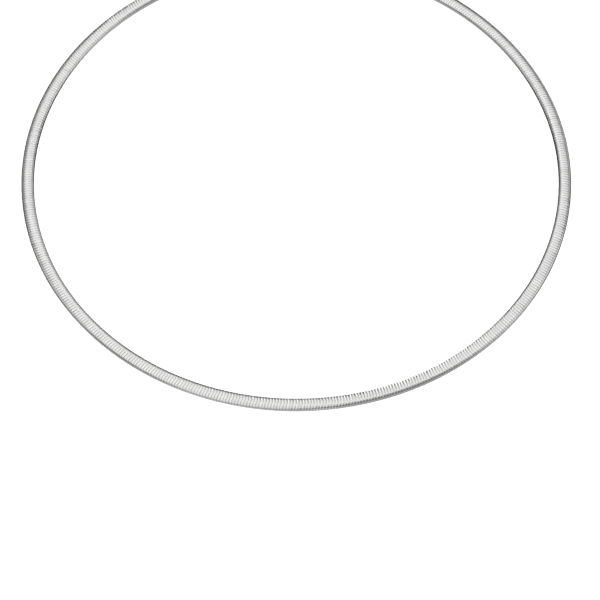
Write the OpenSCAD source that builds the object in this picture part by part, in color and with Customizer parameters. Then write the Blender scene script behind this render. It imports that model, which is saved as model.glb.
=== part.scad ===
// Omega necklace: a stiff round collar of narrow domed plates, folded over a woven core strip
// that runs all the way round, with an end cap on each end of the band and a plain box clasp
// at the nape. The collar is as worn: its ring is tilted, with the front lower than the nape.
// Origin: centre of the neck opening, in the plane of the band's back. Front is -Y, up is +Z.

/* [Necklace] */
// Length of the closed necklace, round the middle of the band, clasp included
chain_len = 406.4; // [360:0.2:520]
// Tilt of the ring on the neck, front lower than nape
worn_tilt = 30; // [0:1:60]

/* [Plates] */
// Width of the plates across the band
plate_w = 3.0; // [2.4:0.1:5]
// Height of the band, from its folded lips to the crown of the plates
plate_h = 1.45; // [1.1:0.05:2]
// Thickness of the sheet that the plates are folded from
plate_sheet = 0.22; // [0.15:0.01:0.26]
// Rise of the plates' face in its middle
crown_rise = 0.07; // [0.04:0.01:0.2]
// Outside radius of the folds beside the face
face_r = 0.6; // [0.3:0.01:0.7]
// Outside radius of the folds where the lips turn in
back_r = 0.3; // [0.28:0.01:0.5]
// How far each end of a plate is turned in under the core
lip_w = 0.75; // [0.55:0.05:1]
// Gap between the two runs of plates, where they meet at the front
front_gap = 0.1; // [0.05:0.01:0.3]

/* [Core] */
// Clearance between the core strip and the plates folded round it
core_gap = 0.05; // [0.02:0.01:0.1]

/* [End caps] */
// Length of an end cap along the band
cap_len = 5; // [4:0.1:8]
// Thickness of a cap's sleeve
cap_wall = 0.28; // [0.2:0.01:0.5]
// Clearance between a cap and the band inside it
cap_gap = 0.08; // [0.05:0.01:0.15]
// How far the band goes into a cap
cap_grip = 3.4; // [2:0.1:3.5]

/* [Clasp] */
// Length of the clasp's box
clasp_len = 10; // [8:0.5:16]
// Width of the clasp across the band
clasp_w = 4.2; // [4:0.1:8]
// Height of the clasp
clasp_h = 2.4; // [2.2:0.1:4]
// Radius of the clasp's long edges
clasp_edge_r = 0.5; // [0.2:0.05:0.8]
// Gap between the clasp and an end cap
clasp_gap = 0.12; // [0.05:0.01:0.3]
// Length of the tongue that goes from each cap into the clasp
tongue_len = 2.4; // [1.5:0.1:3.5]
// Width of a tongue
tongue_w = 1.8; // [1:0.1:3]
// Thickness of a tongue
tongue_t = 0.7; // [0.4:0.05:1]
// Clearance round a tongue in its slot
slot_gap = 0.1; // [0.05:0.01:0.2]
// Width of the seam round the box
seam_w = 0.2; // [0.1:0.05:0.4]
// Depth of the seam
seam_depth = 0.15; // [0.05:0.01:0.3]
// Distance of the seam from the box's left end
seam_at = 3.2; // [2.6:0.1:3.9]

/* [Hidden] */
$fn = 180;

// Where the clasp and the front lie on the ring, and a full turn, in degrees
BACK = 90;
FRONT = 270;
TURN = 360;

// Steps in a rounded corner and in the crown of a plate
CORNER_STEPS = 5;
CROWN_STEPS = 8;

// Radius of the ring at the middle of the band
ring_r = chain_len / (2 * PI);

// Middle line of the band's section, which the tongues and the clasp share
mid_v = plate_h / 2;

// Height of a plate's sides, under its crown
side_h = plate_h - crown_rise;

// Places along the band, as lengths from the middle of the clasp
clasp_end = clasp_len / 2;
cap_start = clasp_end + clasp_gap;
cap_mouth = cap_start + cap_len;
band_end = cap_mouth - cap_grip;

// Degrees of the ring that a length takes along the middle of the band
function deg(len) = TURN * len / chain_len;

// Points of a rounded corner: its centre, its radius and the angles where it starts and ends
function corner(u, v, r, from, to) =
    [for (i = [0:CORNER_STEPS])
        let (a = from + (to - from) * i / CORNER_STEPS)
        [u + r * cos(a), v + r * sin(a)]];

// Points across a crowned face, from right to left, without its two ends
function crown_line(half, v, rise) =
    [for (i = [1:CROWN_STEPS - 1])
        let (s = 1 - 2 * i / CROWN_STEPS)
        [half * s, v + rise * (1 - s * s)]];

// Points round a section, from its lower right corner over its face, crowned or flat, to its lower left
// corner. The corners beside the face end at the slope that the crown starts with.
function section_line(half, low, high, top_r, low_r, rise) =
    let (slope = atan(2 * rise / (half - top_r)))
    concat(
        corner(half - low_r, low + low_r, low_r, -90, 0),
        corner(half - top_r, high - top_r, top_r, 0, 90 - slope),
        rise > 0 ? crown_line(half - top_r, high, rise) : [],
        corner(top_r - half, high - top_r, top_r, 90 + slope, 180),
        corner(low_r - half, low + low_r, low_r, 180, 270));

// Points round the band, or round one that follows it at a distance
function band_line(grow) =
    section_line(plate_w / 2 + grow, -grow, side_h + grow, face_r + grow, back_r + grow, crown_rise);

function reverse(list) = [for (i = [len(list) - 1:-1:0]) list[i]];

// Section of the plates: a sheet folded round the core, open in the middle of its back
module plate_section() {
    tip = plate_w / 2 - lip_w;
    sheet = plate_sheet;
    lips = [[-tip, 0], [-tip, sheet]];
    polygon(concat([[tip, 0]], band_line(0), lips, reverse(band_line(-sheet)), [[tip, sheet]]));
}

// Filled outline of the band, grown all round
module band_outline(grow) {
    polygon(band_line(grow));
}

// Section of the core strip, which fills the folded plates but for its clearance
module core_section() {
    inset = plate_sheet + core_gap;
    polygon(section_line(
        plate_w / 2 - inset, inset, side_h - inset, face_r - plate_sheet, back_r - plate_sheet, 0));
}

// Plain rectangle on the middle line of the band
module bar_section(w, h) {
    translate([-w / 2, mid_v - h / 2]) square([w, h]);
}

// Section of the clasp's box, shrunk all round
module clasp_section(inset) {
    half_h = clasp_h / 2 - inset;
    r = clasp_edge_r - inset;
    polygon(section_line(clasp_w / 2 - inset, mid_v - half_h, mid_v + half_h, r, r, 0));
}

// Sweeps a section round the ring, between two angles
module sweep(from, to) {
    rotate([0, 0, from]) rotate_extrude(angle = to - from) translate([ring_r, 0]) children();
}

// Tilts what is made flat to its place on the neck
module worn() {
    rotate([worn_tilt, 0, 0]) children();
}

module plates_left() {
    color("silver") worn() sweep(BACK + deg(band_end), FRONT - deg(front_gap / 2)) plate_section();
}

module plates_right() {
    color("silver") worn() sweep(FRONT + deg(front_gap / 2), BACK + TURN - deg(band_end)) plate_section();
}

module core() {
    color("darkgray") worn() sweep(BACK + deg(band_end), BACK + TURN - deg(band_end)) core_section();
}

// An end cap on the left of the clasp: a sleeve over the band's end, closed towards the clasp,
// with a tongue that reaches into the clasp
module end_cap() {
    difference() {
        sweep(BACK + deg(cap_start), BACK + deg(cap_mouth)) band_outline(cap_gap + cap_wall);
        sweep(BACK + deg(band_end - cap_gap), BACK + deg(cap_mouth + cap_gap)) band_outline(cap_gap);
    }
    sweep(BACK + deg(clasp_end - tongue_len), BACK + deg(cap_start + cap_wall))
        bar_section(tongue_w, tongue_t);
}

module end_cap_left() {
    color("gainsboro") worn() end_cap();
}

module end_cap_right() {
    color("gainsboro") worn() mirror([1, 0, 0]) end_cap();
}

// Slot for a tongue, in the left end of the clasp's box
module slot() {
    sweep(BACK + deg(clasp_end - tongue_len - slot_gap), BACK + deg(cap_start))
        bar_section(tongue_w + 2 * slot_gap, tongue_t + 2 * slot_gap);
}

// Shallow groove round the clasp's box, where its two halves meet
module seam() {
    left = BACK + deg(clasp_end - seam_at);
    sweep(left - deg(seam_w), left) difference() {
        bar_section(clasp_w + 2 * seam_depth, clasp_h + 2 * seam_depth);
        clasp_section(seam_depth);
    }
}

module clasp() {
    color("gainsboro") worn() difference() {
        sweep(BACK - deg(clasp_end), BACK + deg(clasp_end)) clasp_section(0);
        slot();
        mirror([1, 0, 0]) slot();
        seam();
    }
}

plates_left();
plates_right();
core();
end_cap_left();
end_cap_right();
clasp();
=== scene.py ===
import math

import bpy
import numpy as np
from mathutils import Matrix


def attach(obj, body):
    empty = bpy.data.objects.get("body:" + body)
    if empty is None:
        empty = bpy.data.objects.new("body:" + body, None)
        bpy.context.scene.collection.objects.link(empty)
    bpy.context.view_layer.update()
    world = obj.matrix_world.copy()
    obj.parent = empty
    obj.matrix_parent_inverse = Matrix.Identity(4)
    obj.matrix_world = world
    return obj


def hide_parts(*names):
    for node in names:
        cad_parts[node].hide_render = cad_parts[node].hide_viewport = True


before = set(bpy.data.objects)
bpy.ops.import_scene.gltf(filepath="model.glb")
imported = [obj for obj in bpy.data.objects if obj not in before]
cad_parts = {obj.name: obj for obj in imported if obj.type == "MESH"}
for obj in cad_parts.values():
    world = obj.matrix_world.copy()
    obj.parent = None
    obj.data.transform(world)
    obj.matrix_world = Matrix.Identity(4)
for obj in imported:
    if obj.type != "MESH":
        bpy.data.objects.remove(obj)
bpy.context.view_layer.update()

# Core strip.
# The spine of the collar is four fine coils of round white-gold wire, hooked into each other side by
# side and rolled into a springy flat strip. It stays satin, and shows only behind, between the lips.

MM = 0.001
BAND_LENGTH = 406.4 * MM
WORN_TILT = math.radians(30)
PLATE_WIDTH = 3.0 * MM
PLATE_HEIGHT = 1.45 * MM
SHEET = 0.22 * MM
CROWN_RISE = 0.07 * MM
CORE_GAP = 0.05 * MM

# How far each end of the band lies from the middle of the clasp, round the ring
BAND_END = 6.72 * MM

COILS = 4
COIL_SPACING = 0.52 * MM
COIL_PITCH = 0.55 * MM
WIRE = 0.16 * MM
WIRE_SIDES = 6
STEPS_A_TURN = 10

# The wire's two looks, the size of its tarnished patches, the part of the noise that they fade over, and
# the size and depth of the marks that the drawing of the wire leaves
TARNISHED_WIRE = {"colour": (0.42, 0.415, 0.4), "roughness": 0.42}
CLEAN_WIRE = {"colour": (0.68, 0.68, 0.67), "roughness": 0.26}
TARNISH_SIZE = 1.4 * MM
TARNISH_FADE = (0.35, 0.7)
DRAWING_MARK = 0.03 * MM
DRAWING_DEPTH = 0.002 * MM

# Where the springy band has settled with its outer edge raised a little: the place round the ring from
# the front, how far the roll spreads from there, and the roll, all in degrees
ROLLS = [
    {"at": -10, "spread": 20, "roll": 1.5},
    {"at": 20, "spread": 14, "roll": 6},
]

# Faces that meet at a sharper turn than this show an edge
EDGE_ANGLE = math.radians(40)

ring_radius = BAND_LENGTH / (2 * math.pi)
band_middle = PLATE_HEIGHT / 2
side_height = PLATE_HEIGHT - CROWN_RISE
core_inset = SHEET + CORE_GAP
half_run = BAND_LENGTH / 2 - BAND_END


def band_roll(along):
    """How far the band is rolled about its own length, in radians, at places along it."""
    degrees = np.degrees(along / ring_radius)
    rolls = [row["roll"] * np.exp(-(((degrees - row["at"]) / row["spread"]) ** 2)) for row in ROLLS]
    return np.radians(sum(rolls))


def on_collar(along, across, above):
    """Places on the worn collar: along the band from the middle of its front, across it outwards and
    above its back."""
    roll = band_roll(along)
    height = above - band_middle
    out = ring_radius + across * np.cos(roll) - height * np.sin(roll)
    up = band_middle + across * np.sin(roll) + height * np.cos(roll)
    turn = along / ring_radius
    side = out * np.sin(turn)
    back = -out * np.cos(turn)
    tilted_back = back * math.cos(WORN_TILT) - up * math.sin(WORN_TILT)
    tilted_up = back * math.sin(WORN_TILT) + up * math.cos(WORN_TILT)
    return np.stack([side, tilted_back, tilted_up], axis=-1)


def skin(loops, first):
    """Faces of a closed skin over loops of points, each loop joined to the next and both ends closed.
    The first point of the skin has the number that is given."""
    rows, around = loops.shape[:2]
    grid = first + np.arange(rows * around).reshape(rows, around)
    here = grid[:-1]
    there = grid[1:]
    quads = np.stack([here, np.roll(here, -1, 1), np.roll(there, -1, 1), there], axis=-1)
    return quads.reshape(-1, 4).tolist() + [grid[0, ::-1].tolist(), grid[-1].tolist()]


def piece_of_skins(name, skins, material, tones=None):
    """One object of several closed skins, with a tone for each point where tones are given."""
    faces = []
    first = 0
    for loops in skins:
        faces += skin(loops, first)
        first += loops.shape[0] * loops.shape[1]
    points = np.concatenate([loops.reshape(-1, 3) for loops in skins])
    mesh = bpy.data.meshes.new(name)
    mesh.from_pydata(points.tolist(), [], faces)
    if tones is not None:
        mesh.attributes.new("tone", "FLOAT", "POINT").data.foreach_set("value", tones)
    mesh.polygons.foreach_set("use_smooth", [True] * len(mesh.polygons))
    mesh.set_sharp_from_angle(angle=EDGE_ANGLE)
    mesh.materials.append(material)
    piece = bpy.data.objects.new(name, mesh)
    bpy.context.scene.collection.objects.link(piece)
    return piece


def new_metal(name):
    """A metal, its shader and the places on the collar that its finish is laid out by."""
    material = bpy.data.materials.new(name)
    material.use_nodes = True
    nodes = material.node_tree.nodes
    shader = nodes["Principled BSDF"]
    shader.inputs["Metallic"].default_value = 1
    place = nodes.new("ShaderNodeTexCoord").outputs["Object"]
    return material, shader, place


def link(owner, output, socket):
    """Joins two sockets of a material, or of the room."""
    owner.node_tree.links.new(output, socket)


def noise(material, place, size, detail=2, stretch=(1, 1, 1)):
    """Noise with features of about one size, in metres, stretched along some axes."""
    nodes = material.node_tree.nodes
    mapping = nodes.new("ShaderNodeMapping")
    mapping.inputs["Scale"].default_value = [1 / axis for axis in stretch]
    texture = nodes.new("ShaderNodeTexNoise")
    texture.inputs["Scale"].default_value = 1 / size
    texture.inputs["Detail"].default_value = detail
    link(material, place, mapping.inputs["Vector"])
    link(material, mapping.outputs["Vector"], texture.inputs["Vector"])
    return texture.outputs["Fac"]


def between(owner, value, low, high, span=(0, 1), ease="LINEAR"):
    """A value that goes from low to high as another goes over a span."""
    node = owner.node_tree.nodes.new("ShaderNodeMapRange")
    node.interpolation_type = ease
    node.inputs["From Min"].default_value = span[0]
    node.inputs["From Max"].default_value = span[1]
    node.inputs["To Min"].default_value = low
    node.inputs["To Max"].default_value = high
    link(owner, value, node.inputs["Value"])
    return node.outputs["Result"]


def shade_between(material, share, dark, light):
    """A colour that goes from dark to light with a share."""
    node = material.node_tree.nodes.new("ShaderNodeMix")
    node.data_type = "RGBA"
    node.inputs["A"].default_value = (*dark, 1)
    node.inputs["B"].default_value = (*light, 1)
    link(material, share, node.inputs["Factor"])
    return node.outputs["Result"]


def look_between(material, shader, share, look, other_look):
    """Gives a metal a colour and a roughness that go from one look to another with a share."""
    colour = shade_between(material, share, look["colour"], other_look["colour"])
    link(material, colour, shader.inputs["Base Color"])
    roughness = between(material, share, look["roughness"], other_look["roughness"])
    link(material, roughness, shader.inputs["Roughness"])


def bumps(material, shader, height, depth):
    """Gives a metal fine marks of a depth, in metres, where a height is at its full."""
    node = material.node_tree.nodes.new("ShaderNodeBump")
    node.inputs["Strength"].default_value = 1
    node.inputs["Distance"].default_value = depth
    link(material, height, node.inputs["Height"])
    link(material, node.outputs["Normal"], shader.inputs["Normal"])


def satin_wire():
    """Drawn wire, pickled and left satin, with a little tarnish in patches."""
    material, shader, place = new_metal("satin_wire")
    clean = between(material, noise(material, place, TARNISH_SIZE), 0, 1, TARNISH_FADE)
    look_between(material, shader, clean, TARNISHED_WIRE, CLEAN_WIRE)
    bumps(material, shader, noise(material, place, DRAWING_MARK), DRAWING_DEPTH)
    return material


core_width = PLATE_WIDTH - 2 * core_inset
core_height = side_height - 2 * core_inset
coil_reach = (core_width - WIRE - (COILS - 1) * COIL_SPACING) / 2
coil_rise = (core_height - WIRE) / 2


def coil(index):
    """Rings of points round the wire of one coil, which runs the whole length of the band. Coils side by
    side are half a turn apart, so that they hook into each other."""
    turns = round(2 * half_run / COIL_PITCH)
    angle = np.linspace(0, 2 * math.pi * turns, turns * STEPS_A_TURN + 1)
    phase = angle + math.pi * index
    middle = (index - (COILS - 1) / 2) * COIL_SPACING
    line = np.stack([
        np.linspace(-half_run, half_run, len(angle)),
        middle + coil_reach * np.cos(phase),
        side_height / 2 + coil_rise * np.sin(phase)], axis=-1)
    heading = np.gradient(line, axis=0)
    heading /= np.linalg.norm(heading, axis=1, keepdims=True)
    outward = np.cross(heading, (1, 0, 0))
    outward /= np.linalg.norm(outward, axis=1, keepdims=True)
    sideways = np.cross(outward, heading)
    spokes = 2 * math.pi * np.arange(WIRE_SIDES) / WIRE_SIDES
    rim = (
        outward[:, None] * np.cos(spokes)[None, :, None]
        + sideways[:, None] * np.sin(spokes)[None, :, None])
    rings = line[:, None] + rim * WIRE / 2
    return on_collar(rings[..., 0], rings[..., 1], rings[..., 2])


wire_finish = satin_wire()
for side, pair in (("inner", (0, 1)), ("outer", (2, 3))):
    coils = piece_of_skins(f"core_coils_{side}", [coil(index) for index in pair], wire_finish)
    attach(coils, "root")
    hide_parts("core")

# Plates.
# Narrow strips of rolled white-gold sheet lie side by side across the core. Each is a little domed, with
# its long rims eased, and is folded over both edges of the core. They are polished and rhodium plated.

FOLD_RADIUS = 0.6 * MM
BACK_RADIUS = 0.3 * MM
LIP_WIDTH = 0.75 * MM
PLATE_PITCH = 0.692 * MM
DOME_DROP = 0.0085 * MM
RIM_DROP = 0.011 * MM
RIM_START = 0.8
ARC_STEPS = 5
CROWN_STEPS = 6

# The plates' sides are straight, so the gap between them is narrowest at the inner edge of the band
INNER_GAP = 0.012 * MM

# The plates lean in the plane of the band: their outer ends lie a little further to the left
PLATE_LEAN = -0.1

# Shares of a plate's half width where its section has points
SECTION_PLACES = (-1, -0.95, -0.88, -RIM_START, 0, RIM_START, 0.88, 0.95, 1)

# How much the plates differ: lift, rock about their length and lean, and what the draws start from
LIFT_SPREAD = 0.006 * MM
ROCK_SPREAD = 0.012
LEAN_SPREAD = 0.004
LEFT_SEED = 11
RIGHT_SEED = 12

# The colours that the plates lie between, how rough they are where clean and where smeared, the size of a
# smear, the part of the noise that it fades over, and the buffing lines
DARKEST_PLATE = (0.84, 0.84, 0.835)
LIGHTEST_PLATE = (0.88, 0.88, 0.87)
CLEAN_ROUGHNESS = 0.14
SMEARED_ROUGHNESS = 0.2
SMEAR_SIZE = 2.5 * MM
SMEAR_FADE = (0.3, 0.7)
BUFFING_LINES = {"size": 0.05 * MM, "stretch": (6, 1, 1)}
BUFFING_DEPTH = 0.0005 * MM


def arc(across, above, radius, start, end):
    """Points on an arc, from its centre, its radius and the angles in degrees where it starts and ends."""
    angle = np.radians(np.linspace(start, end, ARC_STEPS + 1))
    return np.stack([across + radius * np.cos(angle), above + radius * np.sin(angle)], axis=-1)


def crown_line(half, high, rise):
    """Points of a crowned face between its two ends, from the outer end to the inner one."""
    share = np.linspace(1, -1, CROWN_STEPS + 1)[1:-1]
    return np.stack([half * share, high + rise * (1 - share**2)], axis=-1)


def outline(half, low, high, face_radius, back_radius, rise=0.0):
    """Points round a section with rounded corners and a crowned face, across and above, from its back."""
    face_side = half - face_radius
    back_side = half - back_radius
    slope = math.degrees(math.atan(2 * rise / face_side))
    return np.concatenate([
        arc(back_side, low + back_radius, back_radius, -90, 0),
        arc(face_side, high - face_radius, face_radius, 0, 90 - slope),
        crown_line(face_side, high, rise),
        arc(-face_side, high - face_radius, face_radius, 90 + slope, 180),
        arc(-back_side, low + back_radius, back_radius, 180, 270)])


def band_outline(grow=0.0):
    """Section of the band, or one that follows it at a distance."""
    return outline(
        PLATE_WIDTH / 2 + grow, -grow, side_height + grow, FOLD_RADIUS + grow, BACK_RADIUS + grow, CROWN_RISE)


def outward_of(line):
    """Unit vectors that stand outwards on a line of points that turns to the left."""
    heading = np.gradient(line, axis=0)
    outward = np.stack([heading[:, 1], -heading[:, 0]], axis=-1)
    return outward / np.linalg.norm(outward, axis=1, keepdims=True)


def run_of_plates(name, start, end, seed, material):
    """The plates that lie side by side between two places along the band, as one piece."""
    count = round((end - start) / PLATE_PITCH)
    pitch = (end - start) / count
    inner_pitch = pitch * (1 - PLATE_WIDTH / 2 / ring_radius)
    half = (inner_pitch - INNER_GAP) / 2
    tip = PLATE_WIDTH / 2 - LIP_WIDTH
    fold = np.concatenate([[(tip, 0)], band_outline(), [(-tip, 0)]])
    outward = outward_of(fold)
    places = np.array(SECTION_PLACES)
    rim = np.clip((np.abs(places) - RIM_START) / (1 - RIM_START), 0, 1)
    drop = DOME_DROP * places**2 + RIM_DROP * rim**2
    # Two more points, on the inner side of the sheet, close the section
    places = np.append(places, [1, -1])
    drop = np.append(drop, [SHEET, SHEET])
    random = np.random.default_rng(seed)
    skins = []
    tones = []
    for index in range(count):
        lift, rock, lean = random.normal(0, (LIFT_SPREAD, ROCK_SPREAD, LEAN_SPREAD))
        middle = start + (index + 0.5) * pitch
        inset = drop[None, :] - lift - rock * half * places[None, :]
        across = fold[:, 0, None] - outward[:, 0, None] * inset
        above = fold[:, 1, None] - outward[:, 1, None] * inset
        straight = ring_radius / (ring_radius + across)
        along = middle + half * places[None, :] * straight + (PLATE_LEAN + lean) * across
        skins.append(on_collar(along, across, above))
        tones.append(np.full(along.size, random.random()))
    return piece_of_skins(name, skins, material, np.concatenate(tones))


def polished_plate():
    """Bright rhodium over white gold: each plate a little different, with faint smears and buffing lines."""
    material, shader, place = new_metal("polished_plate")
    tone = material.node_tree.nodes.new("ShaderNodeAttribute")
    tone.attribute_name = "tone"
    colour = shade_between(material, tone.outputs["Fac"], DARKEST_PLATE, LIGHTEST_PLATE)
    link(material, colour, shader.inputs["Base Color"])
    smears = noise(material, place, SMEAR_SIZE)
    roughness = between(material, smears, CLEAN_ROUGHNESS, SMEARED_ROUGHNESS, SMEAR_FADE)
    link(material, roughness, shader.inputs["Roughness"])
    bumps(material, shader, noise(material, place, **BUFFING_LINES), BUFFING_DEPTH)
    return material


plate_finish = polished_plate()
for side, start, end, seed in (("left", -half_run, 0, LEFT_SEED), ("right", 0, half_run, RIGHT_SEED)):
    plates = run_of_plates(f"plate_run_{side}", start, end, seed, plate_finish)
    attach(plates, "root")
    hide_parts(f"plates_{side}")

# End caps.
# A sleeve of thicker sheet is pushed over each end of the band and soldered. A rolled bead stiffens its
# mouth beside a scribed line, and a flat tongue reaches from its closed end into the clasp.

# How far the closed end and the mouth of a cap and the tip of its tongue lie from the middle of the clasp
CAP_START = 5.12 * MM
CAP_MOUTH = 10.12 * MM
TONGUE_TIP = 2.6 * MM

CAP_WALL = 0.28 * MM
CAP_GAP = 0.08 * MM
CAP_ROUNDING = 0.14 * MM
BEAD_RADIUS = 0.17 * MM
LINE_RADIUS = 0.07 * MM
LINE_FROM_MOUTH = 1 * MM
TONGUE_WIDTH = 1.8 * MM
TONGUE_THICKNESS = 0.7 * MM
TONGUE_BEVEL = 0.12 * MM
TONGUE_FILLET = 0.1 * MM
BEND_STEP = 0.5 * MM

# The fittings' two looks, the size of the patches that they lie in, the fine scratches both ways, and how
# detailed the noise of both is
CLEAR_FITTING = {"colour": (0.82, 0.82, 0.81), "roughness": 0.09}
SMEARED_FITTING = {"colour": (0.87, 0.87, 0.86), "roughness": 0.18}
PATCH_SIZE = 1.8 * MM
LONG_SCRATCHES = {"size": 0.06 * MM, "stretch": (12, 1, 1)}
CROSS_SCRATCHES = {"size": 0.05 * MM, "stretch": (1, 9, 9)}
SCRATCH_DEPTH = 0.0006 * MM
FITTING_DETAIL = 3


def tongue_outline(radius, grow):
    """Section of a tongue with corners of a radius, grown all round or, where grow is below zero, shrunk."""
    half = TONGUE_THICKNESS / 2 + grow
    return outline(TONGUE_WIDTH / 2 + grow, band_middle - half, band_middle + half, radius, radius)


def drawn_out(sections, side):
    """Loops of points from sections at places from the clasp's middle outwards, with more where the ring
    bends. On the left they run backwards, which keeps the outside of the skin outside."""
    loops = []
    for (at, section), (next_at, next_section) in zip(sections, sections[1:]):
        steps = max(1, round(abs(next_at - at) / BEND_STEP))
        for share in np.arange(steps) / steps:
            loops.append((at + share * (next_at - at), section + share * (next_section - section)))
    loops.append(sections[-1])
    return np.stack([
        on_collar(side * (BAND_LENGTH / 2 - at), section[:, 0], section[:, 1])
        for at, section in loops[::side]])


def cap_sections():
    """Sections of an end cap, from the tip of its tongue over its outside, round its mouth and inside to
    its bottom. The arcs give how far from the clasp's middle each section lies and how much it grows."""
    outside = CAP_GAP + CAP_WALL
    line_at = CAP_MOUTH - LINE_FROM_MOUTH
    bead_at = CAP_MOUTH - BEAD_RADIUS
    bead_grow = CAP_GAP + BEAD_RADIUS
    bead_foot = 180 - math.degrees(math.asin((outside - bead_grow) / BEAD_RADIUS))
    tongue = np.concatenate([
        arc(TONGUE_TIP + TONGUE_BEVEL, -TONGUE_BEVEL, TONGUE_BEVEL, 180, 90),
        arc(CAP_START - TONGUE_FILLET, TONGUE_FILLET, TONGUE_FILLET, -90, 0)])
    cap = np.concatenate([
        arc(CAP_START + CAP_ROUNDING, outside - CAP_ROUNDING, CAP_ROUNDING, 180, 90),
        arc(line_at, outside, LINE_RADIUS, 180, 360),
        arc(bead_at, bead_grow, BEAD_RADIUS, bead_foot, -90),
        [(BAND_END - CAP_GAP, CAP_GAP)]])
    return (
        [(at, tongue_outline(TONGUE_BEVEL, grow)) for at, grow in tongue]
        + [(at, band_outline(grow)) for at, grow in cap])


def combined(owner, operation, first, second):
    """Two values put together by one operation."""
    node = owner.node_tree.nodes.new("ShaderNodeMath")
    node.operation = operation
    link(owner, first, node.inputs[0])
    link(owner, second, node.inputs[1])
    return node.outputs["Value"]


def polished_fitting():
    """Bright polished white gold with a little handling wear: fine scratches both ways and soft smears."""
    material, shader, place = new_metal("polished_fitting")
    smears = between(material, noise(material, place, PATCH_SIZE, FITTING_DETAIL), 0, 1, SMEAR_FADE)
    look_between(material, shader, smears, CLEAR_FITTING, SMEARED_FITTING)
    scratches = combined(
        material, "ADD",
        noise(material, place, detail=FITTING_DETAIL, **LONG_SCRATCHES),
        noise(material, place, detail=FITTING_DETAIL, **CROSS_SCRATCHES))
    bumps(material, shader, scratches, SCRATCH_DEPTH)
    return material


fitting_finish = polished_fitting()
for side, sign in (("left", -1), ("right", 1)):
    cap = piece_of_skins(f"sleeve_cap_{side}", [drawn_out(cap_sections(), sign)], fitting_finish)
    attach(cap, "root")
    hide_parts(f"end_cap_{side}")

# Clasp.
# A box of two bent shells, soldered and filed smooth, which a fine seam parts towards one end. Its corners
# are well rounded, and each end has a slot for the tongue of an end cap.

CLASP_LENGTH = 10 * MM
CLASP_WIDTH = 4.2 * MM
CLASP_HEIGHT = 2.4 * MM
CLASP_EDGE = 0.5 * MM
CLASP_CROWN = 0.1 * MM
END_ROUNDING = 0.32 * MM
SLOT_GAP = 0.1 * MM
SLOT_LIP = 0.08 * MM
SLOT_CORNER = 0.1 * MM
SEAM_FROM_END = 3.2 * MM
SEAM_WIDTH = 0.2 * MM
SEAM_DEPTH = 0.15 * MM
SEAM_BEVEL = 0.05 * MM


def box(grow):
    """Section of the clasp's box, grown all round or, where grow is below zero, shrunk."""
    half_width = CLASP_WIDTH / 2 + grow
    half_height = CLASP_HEIGHT / 2 + grow
    low = band_middle - half_height
    high = band_middle + half_height - CLASP_CROWN
    radius = CLASP_EDGE + grow
    return outline(half_width, low, high, radius, radius, CLASP_CROWN)


def slot_end():
    """Sections from the bottom of a slot out to its lip and round the end of the box to its side."""
    end = CLASP_LENGTH / 2
    bottom = TONGUE_TIP - SLOT_GAP
    slot = np.concatenate([
        [(bottom, SLOT_GAP)],
        arc(end - SLOT_LIP, SLOT_GAP + SLOT_LIP, SLOT_LIP, -90, 0)])
    rounding = arc(end - END_ROUNDING, -END_ROUNDING, END_ROUNDING, 0, 90)
    return (
        [(at, tongue_outline(SLOT_CORNER, grow)) for at, grow in slot]
        + [(at, box(grow)) for at, grow in rounding])


def seam():
    """Sections over the seam, whose two edges are a little rounded."""
    near = CLASP_LENGTH / 2 - SEAM_FROM_END
    far = near - SEAM_WIDTH
    line = np.concatenate([
        arc(far - SEAM_BEVEL, -SEAM_BEVEL, SEAM_BEVEL, 90, 0),
        [(far, -SEAM_DEPTH), (near, -SEAM_DEPTH)],
        arc(near + SEAM_BEVEL, -SEAM_BEVEL, SEAM_BEVEL, 180, 90)])
    return [(at, box(grow)) for at, grow in line]


left_end = slot_end()[::-1]
right_end = [(-at, section) for at, section in slot_end()]
clasp_skin = drawn_out(right_end + seam() + left_end, -1)
box_clasp = piece_of_skins("box_clasp", [clasp_skin], fitting_finish)
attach(box_clasp, "root")
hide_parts("clasp")

# Floor.
# A pale sheet under the collar, lit from beneath as a product table is. The metal doesn't mirror it: the
# room's tones below the level of the collar stand for it there.

# How far it lies below the middle of the neck opening and how wide it is, in metres, and its paint
FLOOR_DROP = 0.12
FLOOR_SIZE = 12.0
FLOOR_GREY = 0.9
FLOOR_ROUGHNESS = 0.9
FLOOR_GLOW = 0.7

edge = FLOOR_SIZE / 2
corners = [(-edge, -edge), (edge, -edge), (edge, edge), (-edge, edge)]
floor_mesh = bpy.data.meshes.new("floor")
floor_mesh.from_pydata([(*corner, -FLOOR_DROP) for corner in corners], [], [(0, 1, 2, 3)])
floor = bpy.data.objects.new("floor", floor_mesh)
bpy.context.scene.collection.objects.link(floor)
floor_paint = bpy.data.materials.new("floor_paint")
floor_paint.use_nodes = True
paint = floor_paint.node_tree.nodes["Principled BSDF"]
paint.inputs["Base Color"].default_value = (FLOOR_GREY, FLOOR_GREY, FLOOR_GREY, 1)
paint.inputs["Roughness"].default_value = FLOOR_ROUGHNESS
paint.inputs["Emission Color"].default_value = (1, 1, 1, 1)
paint.inputs["Emission Strength"].default_value = FLOOR_GLOW
floor_mesh.materials.append(floor_paint)
floor.visible_glossy = False

# Lights.
# Bright metal shows the room that it stands in. This one is dark with a white ceiling, a pale table below
# and white cards all round: the face mirrors the ceiling, and the dark room draws the lines along the folds.

# A faint round soft box hangs overhead, a little behind the collar: how far away, how high and how wide
# it is, and its glow
SOFT_BOX_AWAY = 1.15
SOFT_BOX_RISE = math.radians(80)
SOFT_BOX_SIZE = 0.65
SOFT_BOX_GLOW = 0.1

# How bright the room is, from straight down (-1) to straight up (1)
ROOM_TONES = [
    (-1, 0.46), (-0.72, 0.44), (-0.52, 0.03),
    (0.8, 0.03), (0.88, 0.06), (0.93, 0.32), (0.96, 0.66), (1, 0.85),
]
BACKDROP_GREY = 0.97

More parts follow.
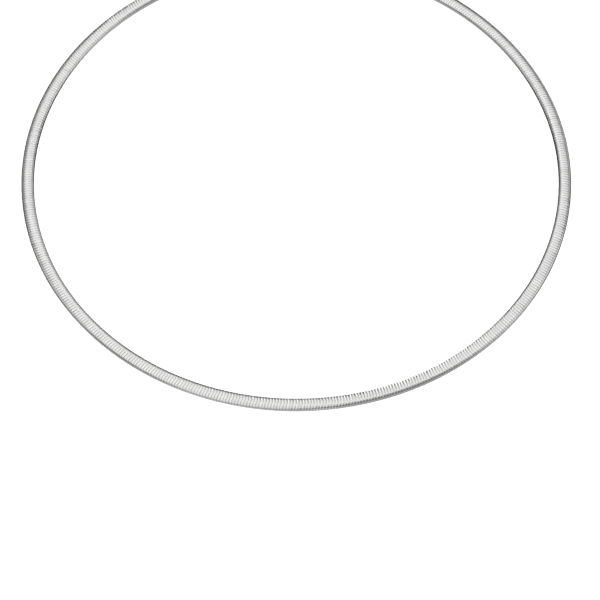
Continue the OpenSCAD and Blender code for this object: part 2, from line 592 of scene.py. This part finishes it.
# Round cards: the axis that each lies on, how far it spreads and fades in degrees, and its glow
CARDS = [
    {"axis": (-0.32, -0.73, 0.6), "spread": 25, "fade": 11, "glow": 0.9},
    {"axis": (-0.17, -0.19, 0.97), "spread": 10, "fade": 5, "glow": 1.05},
    {"axis": (-0.36, -0.9, -0.25), "spread": 18, "fade": 14, "glow": 0.86},
    {"axis": (0.2, -0.25, 0.95), "spread": 17, "fade": 9, "glow": 0.43},
    {"axis": (0.26, -0.15, 0.95), "spread": 8, "fade": 6, "glow": 1.04},
    {"axis": (0.82, -0.28, 0.56), "spread": 18, "fade": 8, "glow": 0.8},
    {"axis": (0.96, -0.03, 0.05), "spread": 19, "fade": 6, "glow": 0.75},
    {"axis": (-0.86, -0.3, 0.55), "spread": 13, "fade": 6, "glow": 0.68},
    {"axis": (-0.97, -0.03, 0.07), "spread": 17, "fade": 5, "glow": 0.55},
    {"axis": (0.6, 0.5, 0.62), "spread": 17, "fade": 7, "glow": 0.55},
    {"axis": (-0.66, -0.14, 0.74), "spread": 11, "fade": 7, "glow": 0.55},
    {"axis": (-0.62, 0.36, 0.7), "spread": 10, "fade": 7, "glow": 0.4},
    {"axis": (-0.3, 0.07, -0.95), "spread": 8, "fade": 12, "glow": 0.6},
    {"axis": (-0.2, 0.33, -0.92), "spread": 10, "fade": 8, "glow": 0.5},
    {"axis": (0.5, 0.42, -0.75), "spread": 8, "fade": 12, "glow": 0.62},
    {"axis": (-0.5, 0.42, -0.75), "spread": 8, "fade": 12, "glow": 0.5},
    {"axis": (0, -0.95, 0.15), "spread": 80, "fade": 15, "glow": 0.22},
    {"axis": (-0.86, 0, -0.5), "spread": 18, "fade": 15, "glow": 0.2},
    {"axis": (0.86, 0, -0.5), "spread": 18, "fade": 15, "glow": 0.42},
]

# A tall narrow card behind to the left: its middle, spread and fade in degrees round from the back,
# how high it starts and ends, from level (0) to straight up (1), and its glow
STRIP = {"turn": -13.5, "spread": 6, "fade": 3, "low": 0.1, "high": 0.97, "glow": 1.45}
STRIP_END_FADE = 0.02

soft_box_area = math.pi * SOFT_BOX_SIZE**2 / 4
soft_box_data = bpy.data.lights.new("soft_box", "AREA")
soft_box_data.shape = "DISK"
soft_box_data.size = SOFT_BOX_SIZE
soft_box_data.energy = SOFT_BOX_GLOW * math.pi * soft_box_area
soft_box = bpy.data.objects.new("soft_box", soft_box_data)
soft_box.rotation_euler = (SOFT_BOX_RISE - math.pi / 2, 0, 0)
soft_box.location = (0, SOFT_BOX_AWAY * math.cos(SOFT_BOX_RISE), SOFT_BOX_AWAY * math.sin(SOFT_BOX_RISE))
soft_box.visible_camera = False
bpy.context.scene.collection.objects.link(soft_box)

room = bpy.data.worlds.new("room")
room.use_nodes = True
bpy.context.scene.world = room
room_nodes = room.node_tree.nodes
towards = room_nodes.new("ShaderNodeTexCoord").outputs["Generated"]


def vector_step(operation, direction, by=None):
    """What one operation makes of a direction in the room, by a fixed vector where it needs one."""
    node = room_nodes.new("ShaderNodeVectorMath")
    node.operation = operation
    link(room, direction, node.inputs[0])
    if by:
        node.inputs[1].default_value = by
    return node.outputs["Value" if operation == "DOT_PRODUCT" else "Vector"]


def nearness(direction, axis):
    """How near a direction is to an axis: 1 along it, -1 the other way."""
    length = math.sqrt(sum(part**2 for part in axis))
    return vector_step("DOT_PRODUCT", direction, [part / length for part in axis])


def spread_glow(direction, axis, spread, fade, glow):
    """A glow round an axis that fades at its edge."""
    dark = math.cos(math.radians(spread + fade))
    full = math.cos(math.radians(spread))
    return between(room, nearness(direction, axis), 0, glow, (dark, full), "SMOOTHSTEP")


def strip_glow(turn, spread, fade, low, high, glow):
    """The glow of a tall card, the same width in degrees all the way up."""
    level = vector_step("NORMALIZE", vector_step("MULTIPLY", towards, (1, 1, 0)))
    turn = math.radians(turn)
    beside = spread_glow(level, (math.sin(turn), math.cos(turn), 0), spread, fade, glow)
    above = between(room, rise, 0, 1, (low - STRIP_END_FADE, low), "SMOOTHSTEP")
    below = between(room, rise, 1, 0, (high, high + STRIP_END_FADE), "SMOOTHSTEP")
    return combined(room, "MULTIPLY", beside, combined(room, "MULTIPLY", above, below))


rise = nearness(towards, (0, 0, 1))
ramp = room_nodes.new("ShaderNodeValToRGB")
ramp.color_ramp.interpolation = "EASE"
stops = ramp.color_ramp.elements
while len(stops) < len(ROOM_TONES):
    stops.new(1)
for stop, (height, tone) in zip(stops, ROOM_TONES):
    stop.position = (height + 1) / 2
    stop.color = (tone, tone, tone, 1)
link(room, between(room, rise, 0, 1, (-1, 1)), ramp.inputs["Fac"])
room_glow = combined(room, "MAXIMUM", ramp.outputs["Color"], strip_glow(**STRIP))
for card in CARDS:
    room_glow = combined(room, "MAXIMUM", room_glow, spread_glow(towards, **card))

# The camera sees a plain pale backdrop in place of the room
seen = room_nodes.new("ShaderNodeLightPath").outputs["Is Camera Ray"]
backdrop = room_nodes.new("ShaderNodeMix")
backdrop.inputs["B"].default_value = BACKDROP_GREY
link(room, seen, backdrop.inputs["Factor"])
link(room, room_glow, backdrop.inputs["A"])
background = room_nodes["Background"]
background.inputs["Color"].default_value = (1, 1, 1, 1)
link(room, backdrop.outputs["Result"], background.inputs["Strength"])

# Camera.
# It looks down at the front of the worn collar through a long lens, from twelve ring radii away. The middle
# of the picture lies a little to the right of the ring's centre and well below it.

VIEW_ELEVATION = math.radians(27.5)
VIEW_DISTANCE = 12 * ring_radius
LENS_MM = 193.1
VIEW_RIGHT = 0.89 * MM
VIEW_DOWN = 30.05 * MM

camera_data = bpy.data.cameras.new("camera")
camera_data.lens = LENS_MM
camera = bpy.data.objects.new("camera", camera_data)
camera.rotation_euler = (math.pi / 2 - VIEW_ELEVATION, 0, 0)
camera.location = (
    VIEW_RIGHT,
    -VIEW_DISTANCE * math.cos(VIEW_ELEVATION) - VIEW_DOWN * math.sin(VIEW_ELEVATION),
    VIEW_DISTANCE * math.sin(VIEW_ELEVATION) - VIEW_DOWN * math.cos(VIEW_ELEVATION))
bpy.context.scene.collection.objects.link(camera)
bpy.context.scene.camera = camera
bpy.context.scene.view_settings.view_transform = "Standard"
